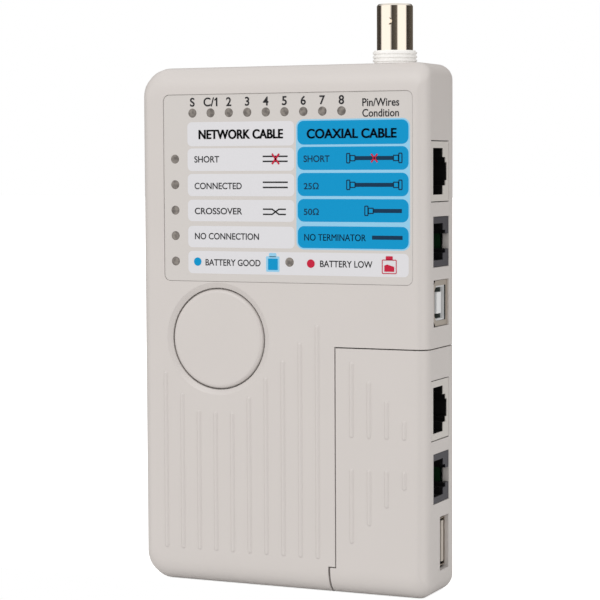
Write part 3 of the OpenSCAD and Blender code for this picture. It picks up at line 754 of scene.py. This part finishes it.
def cross(x, z, half_x, half_z, width):
    """Two crossed strokes."""
    return [
        [stroke(x - half_x, z - half_z, x + half_x, z + half_z, width)],
        [stroke(x - half_x, z + half_z, x + half_x, z - half_z, width)],
    ]


def framed(x0, x1, z0, z1, r, line):
    """Rounded rectangle drawn in outline, with its line inside the given size."""
    inner = round_rect(x0 + line, x1 - line, z0 + line, z1 - line, r / 2, 3)
    return [round_rect(x0, x1, z0, z1, r, 3), inner]


def plug_outline(x, z, side):
    """Small coaxial plug: a wide nut and a narrower sleeve, drawn in line."""
    nut = sorted((x, x + side * 1.2))
    sleeve = sorted((x + side * 1.0, x + side * 2.7))
    return [
        framed(*nut, z - 1.4, z + 1.4, 0.3, PLUG_LINE),
        framed(*sleeve, z - 0.85, z + 0.85, 0.2, PLUG_LINE),
    ]


def battery_outline(x0, x1, z0, z1, nub, line):
    """Battery drawn in line, with its terminal block on top."""
    mid = (x0 + x1) / 2
    return [
        framed(x0, x1, z0, z1 - nub, 0.3, line),
        [round_rect(mid - 1.0, mid + 1.0, z1 - nub - line * 0.5, z1, 0.2, 3)],
    ]


def print_label():
    """Panels, result names and symbols printed on the label."""
    lamps = [
        ((low.x + high.x) / 2 / MM, (low.z + high.z) / 2 / MM)
        for low, high in solids_of("result_leds")
    ]
    low_lamp = max(lamps)
    whites = [[round_rect(*WHITE_X, z0, z1, 1.3)] for z0, z1 in WHITE_ROWS]
    battery_panel = round_rect(WHITE_X[0], BLUE_X[1], *BATTERY_ROW, 1.3)
    whites.append([battery_panel, disc(*low_lamp, 1.3)])
    print_piece("print_white", "white_ink", 0.0, whites)
    edge = round_rect(
        BLUE_X[0] - BORDER,
        BLUE_X[1] + BORDER,
        BLUE_ROWS[-1][0] - BORDER,
        BLUE_ROWS[0][1] + BORDER,
        2.1,
    )
    print_piece("print_cyan", "cyan_ink", 0.0, [[edge]])
    blues = [[round_rect(*BLUE_X, z0, z1, 1.8)] for z0, z1 in BLUE_ROWS]
    print_piece("print_blue", "blue_ink", 0.02, blues)
    print_symbols()
    print_words()


def print_symbols():
    """Wire, cable, plug and battery signs; places in millimetres on the label."""
    left, right, mid = -5.05, 2.4, -1.2
    dark = [[stroke(left, z, right, z, 0.42)] for z in (118.7, 117.35, 111.7, 110.3)]
    for near, far in ((104.4, 103.0), (103.0, 104.4)):
        dark.append([stroke(left, near, mid - 1.0, near, 0.4)])
        dark.append([stroke(mid - 1.1, near, mid + 0.9, far, 0.4)])
        dark.append([stroke(mid + 0.8, far, right - 0.6, far, 0.4)])
    print_piece("print_symbols", "dark_ink", 0.02, dark)
    cables = [(22.1, 33.0), (22.1, 33.0), (27.3, 35.4), (26.9, 35.6)]
    bars = [[stroke(x0, z, x1, z, 1.05)] for (x0, x1), z in zip(cables, CABLE_Z)]
    print_piece("print_cables", "navy_ink", 0.04, bars)
    plugs = []
    for x, z, side in (
        (19.5, CABLE_Z[0], 1),
        (35.6, CABLE_Z[0], -1),
        (19.5, CABLE_Z[1], 1),
        (35.6, CABLE_Z[1], -1),
        (24.7, CABLE_Z[2], 1),
    ):
        plugs += plug_outline(x, z, side)
    print_piece("print_plugs", "navy_ink", 0.04, plugs)
    reds = cross(mid, 118.0, 1.05, 1.4, 0.5) + cross(27.6, CABLE_Z[0], 0.9, 1.1, 0.45)
    reds.append([disc(9.1, 89.8, 1.15)])
    reds += battery_outline(29.7, 33.9, 87.4, 92.1, 0.9, 0.22)
    reds.append([[(30.4, 88.0), (33.2, 88.0), (33.2, 89.3), (31.2, 89.9), (30.4, 89.6)]])
    print_piece("print_red", "red_ink", 0.06, reds)
    blues = [[disc(-25.0, 89.85, 1.15)], [round_rect(-3.6, -0.7, 87.9, 91.0, 0.2, 3)]]
    print_piece("print_battery_blue", "blue_ink", 0.04, blues)
    case = round_rect(-4.2, -0.2, 87.4, 91.6, 0.3, 3)
    terminals = round_rect(-3.3, -1.1, 91.4, 92.5, 0.3, 3)
    print_piece("print_battery_cyan", "cyan_ink", 0.02, [[case], [terminals]])


def print_words():
    """Lamp numerals, headings and result names."""
    numerals = ["S", "C/1", "2", "3", "4", "5", "6", "7", "8"]
    lamps = sorted((low.x + high.x) / 2 / MM for low, high in solids_of("wire_leds"))
    words = [
        ((t, x, 132.45, 134.9), {"align": "centre", "bold": 0.02}) for t, x in zip(numerals, lamps)
    ]
    heading = {"width": 25.4, "bold": 0.022}
    words += struck_twice(("NETWORK CABLE", -24.4, 123.5, 126.1), heading)
    words += [
        (("Pin/Wires", 24.2, 131.8, 133.95), {"width": 10.5}),
        (("Condition", 24.2, 129.0, 131.1), {"width": 10.4}),
        (("SHORT", -25.8, *TEXT_Z[0]), {"width": 7.6}),
        (("CONNECTED", -25.8, *TEXT_Z[1]), {"width": 14.4}),
        (("CROSSOVER", -25.8, *TEXT_Z[2]), {"width": 14.5}),
        (("NO CONNECTION", -25.8, *TEXT_Z[3]), {"width": 19.5}),
        (("BATTERY GOOD", -22.6, 88.8, 90.6), {"width": 16.7}),
        (("BATTERY LOW", 11.8, 88.9, 90.7), {"width": 15.2}),
    ]
    # the typeface draws its 1 as a bare upright, so it gets a flag
    flag = stroke(lamps[1] + 1.25, 134.1, lamps[1] + 1.95, 134.72, 0.36)
    print_piece("print_words", "dark_ink", 0.03, shapes=[[flag]], texts=words)
    navy = [
        (("SHORT", 7.1, *TEXT_Z[0]), {"width": 7.6}),
        (("25Ω", 7.1, *TEXT_Z[1]), {"width": 4.4}),
        (("50Ω", 7.1, *TEXT_Z[2]), {"width": 4.4}),
    ]
    # the typeface's M folds over itself when it is made bold
    plain = {"width": 17.9, "bold": 0.0}
    navy += struck_twice(("NO TERMINATOR", 7.2, *TEXT_Z[3]), plain, apart=0.05)
    navy += struck_twice(("COAXIAL CABLE", 8.1, 123.4, 126.0), {"width": 25.8, "bold": 0.022})
    print_piece("print_blue_words", "navy_ink", 0.05, texts=navy)


# ------------------------------------------------------------------- studio


def aim(position, target):
    """Turn that points an object's -Z at the target, keeping its Y up."""
    return (Vector(target) - Vector(position)).to_track_quat("-Z", "Y").to_matrix().to_4x4()


def soft_light(name, position, target, width, height, power):
    """Rectangular studio light aimed at a target."""
    lamp = bpy.data.lights.new(name, "AREA")
    lamp.shape = "RECTANGLE"
    lamp.size = width
    lamp.size_y = height
    lamp.energy = power
    piece = bpy.data.objects.new(name, lamp)
    piece.matrix_world = Matrix.Translation(position) @ aim(position, target)
    bpy.context.scene.collection.objects.link(piece)


def bands(tree, azimuth):
    """Two bright screens with dark gaps between them, by direction round Z."""
    ramp = add(tree, "ShaderNodeValToRGB", {"Fac": azimuth})
    stops = ramp.color_ramp.elements
    dark, dim, bright = (0.035, 0.03, 0.026, 1), (0.14, 0.12, 0.1, 1), (1.25, 1.18, 1.13, 1)
    stops[0].position, stops[0].color = 0.0, dim
    stops[1].position, stops[1].color = 1.0, dim
    for degrees, colour in (
        (-82, dark),
        (-69, bright),
        (-10, bright),
        (2, dark),
        (34, dim),
        (41, bright),
        (94, bright),
        (102, dark),
    ):
        stops.new(degrees / 360 + 0.5).color = colour
    return ramp.outputs["Color"]


def pale_surround():
    """White seen directly; a soft light from the upper front elsewhere."""
    world = bpy.data.worlds.new("surround")
    world.use_nodes = True
    bpy.context.scene.world = world
    tree = world.node_tree
    tree.nodes.clear()
    place = add(tree, "ShaderNodeTexCoord").outputs["Generated"]
    toward = add(
        tree,
        "ShaderNodeVectorMath",
        {0: place, 1: Vector((0.25, -0.75, 0.6)).normalized()},
        operation="DOT_PRODUCT",
    )
    strength = add(
        tree,
        "ShaderNodeMapRange",
        {"Value": toward.outputs["Value"], "From Min": -1.0, "To Min": 0.54, "To Max": 1.0},
    )
    light = add(
        tree, "ShaderNodeBackground", {"Color": linear("#FFFDFB"), "Strength": strength.outputs[0]}
    )
    parts = add(tree, "ShaderNodeSeparateXYZ", {"Vector": place})
    front = add(tree, "ShaderNodeMath", {0: parts.outputs["Y"], 1: -1.0}, operation="MULTIPLY")
    angle = add(
        tree,
        "ShaderNodeMath",
        {0: parts.outputs["X"], 1: front.outputs[0]},
        operation="ARCTAN2",
    )
    turn = add(
        tree,
        "ShaderNodeMapRange",
        {"Value": angle.outputs[0], "From Min": -math.pi, "From Max": math.pi},
    )
    overhead = add(
        tree,
        "ShaderNodeMapRange",
        {"Value": parts.outputs["Z"], "From Min": 0.35, "From Max": 0.75},
    )
    mirrored = add(
        tree,
        "ShaderNodeMix",
        {"Factor": overhead.outputs[0], 6: bands(tree, turn.outputs[0]), 7: (0.9, 0.9, 0.9, 1)},
        data_type="RGBA",
    )
    gleam = add(tree, "ShaderNodeBackground", {"Color": mirrored.outputs[2], "Strength": 1.0})
    seen = add(tree, "ShaderNodeBackground", {"Color": linear("#FFFFFF"), "Strength": 1.0})
    path = add(tree, "ShaderNodeLightPath")
    indirect = add(
        tree,
        "ShaderNodeMixShader",
        {"Fac": path.outputs["Is Glossy Ray"], 1: light.outputs[0], 2: gleam.outputs[0]},
    )
    mix = add(
        tree,
        "ShaderNodeMixShader",
        {"Fac": path.outputs["Is Camera Ray"], 1: indirect.outputs[0], 2: seen.outputs[0]},
    )
    add(tree, "ShaderNodeOutputWorld", {"Surface": mix.outputs[0]})


def pale_floor():
    """White board: it glows a little for the camera, so its edge can't be seen.

    It ends just in front of the object, so parts that slide down stay in view.
    """
    mesh = bpy.data.meshes.new("floor")
    reach = 6.0
    front = cad_box[0].y - 1.0 * MM
    mesh.from_pydata(
        [(-reach, front, 0), (reach, front, 0), (reach, reach, 0), (-reach, reach, 0)],
        [],
        [(0, 1, 2, 3)],
    )
    floor = bpy.data.objects.new("floor", mesh)
    board, tree, shader = new_finish("white_studio_board", "#DCDCDC", 0.9, Specular_IOR_Level=0.0)
    shader.inputs["Emission Color"].default_value = linear("#FFFFFF")
    path = add(tree, "ShaderNodeLightPath")
    glow = add(
        tree, "ShaderNodeMath", {0: path.outputs["Is Camera Ray"], 1: 0.8}, operation="MULTIPLY"
    )
    tree.links.new(glow.outputs[0], shader.inputs["Emission Strength"])
    mesh.materials.append(board)
    bpy.context.scene.collection.objects.link(floor)


def studio_camera():
    """Seen from 24 degrees to the right of the front and slightly above."""
    yaw, pitch, roll = (math.radians(a) for a in (24.009, 3.773, -0.265))
    back = Vector(
        (
            math.sin(yaw) * math.cos(pitch),
            -math.cos(yaw) * math.cos(pitch),
            math.sin(pitch),
        )
    )
    right = Vector((math.cos(yaw), math.sin(yaw), 0))
    up = back.cross(right)
    turned_right = right * math.cos(roll) + up * math.sin(roll)
    turned_up = up * math.cos(roll) - right * math.sin(roll)
    place = Matrix((turned_right, turned_up, back)).transposed().to_4x4()
    place.translation = Vector((233.85, -522.9, 116.86)) * MM
    lens = bpy.data.cameras.new("camera")
    lens.sensor_width = 36
    lens.lens = 124.593
    lens.clip_start = 0.01
    camera = bpy.data.objects.new("camera", lens)
    camera.matrix_world = place
    bpy.context.scene.collection.objects.link(camera)
    bpy.context.scene.camera = camera


# ------------------------------------------------------------- put together

SMOOTHED = {
    "front_case": "case",
    "rear_case": "case",
    "battery_door": "case",
    "remote_front_case": "case",
    "remote_rear_case": "case",
    "test_button": "button",
    "label_panel": "label",
    "bnc_housing": "white",
    "bnc_barrel": "nickel",
    "bnc_insulator": "white",
    "bnc_contact": "gold",
    "network_jack": "socket",
    "phone_jack": "dark_socket",
    "remote_network_jack": "socket",
    "remote_phone_jack": "dark_socket",
    "usb_b_shell": "usb_frame",
    "usb_b_insert": "usb_white",
    "usb_a_shell": "usb_shell",
    "usb_a_insert": "usb_tongue",
}
PAINTED = {
    "main_board": "board",
    "board_parts": "black",
    "led_spacers": "white",
    "switch_body": "black",
    "switch_plunger": "white",
    "usb_b_contacts": "gold",
    "usb_a_contacts": "gold",
    "battery": "battery",
    "battery_terminals": "nickel",
    "battery_snap": "black",
    "battery_lead_red": "red_wire",
    "battery_lead_black": "black",
    "remote_board": "board",
    "remote_parts": "black",
}


def paint(node, finish):
    """Gives a CAD node that keeps its own mesh its finish."""
    slots = NODES[node].data.materials
    slots.clear()
    slots.append(FINISH[finish])


for name, finish in SMOOTHED.items():
    smooth_copy(name, finish)
for name, finish in PAINTED.items():
    paint(name, finish)

screws = screw_tree()
for name in ("case_screws", "remote_screws"):
    grow_screws(screws, name)
lamps = lamp_tree()
for name in ("wire_leds", "result_leds"):
    grow_lamps(lamps, name)
grow_windows(window_tree())
contacts = contact_tree()
for unit in ("", "remote_"):
    grow_contacts(contacts, unit + "network_contacts")
    grow_contacts(contacts, unit + "phone_contacts")
print_label()

pale_surround()
pale_floor()
middle = (cad_box[0] + cad_box[1]) / 2
soft_light("key", (-0.15, -0.9, 0.9), middle, 0.45, 0.45, 2.6)
studio_camera()

bpy.context.scene.view_settings.view_transform = "Standard"
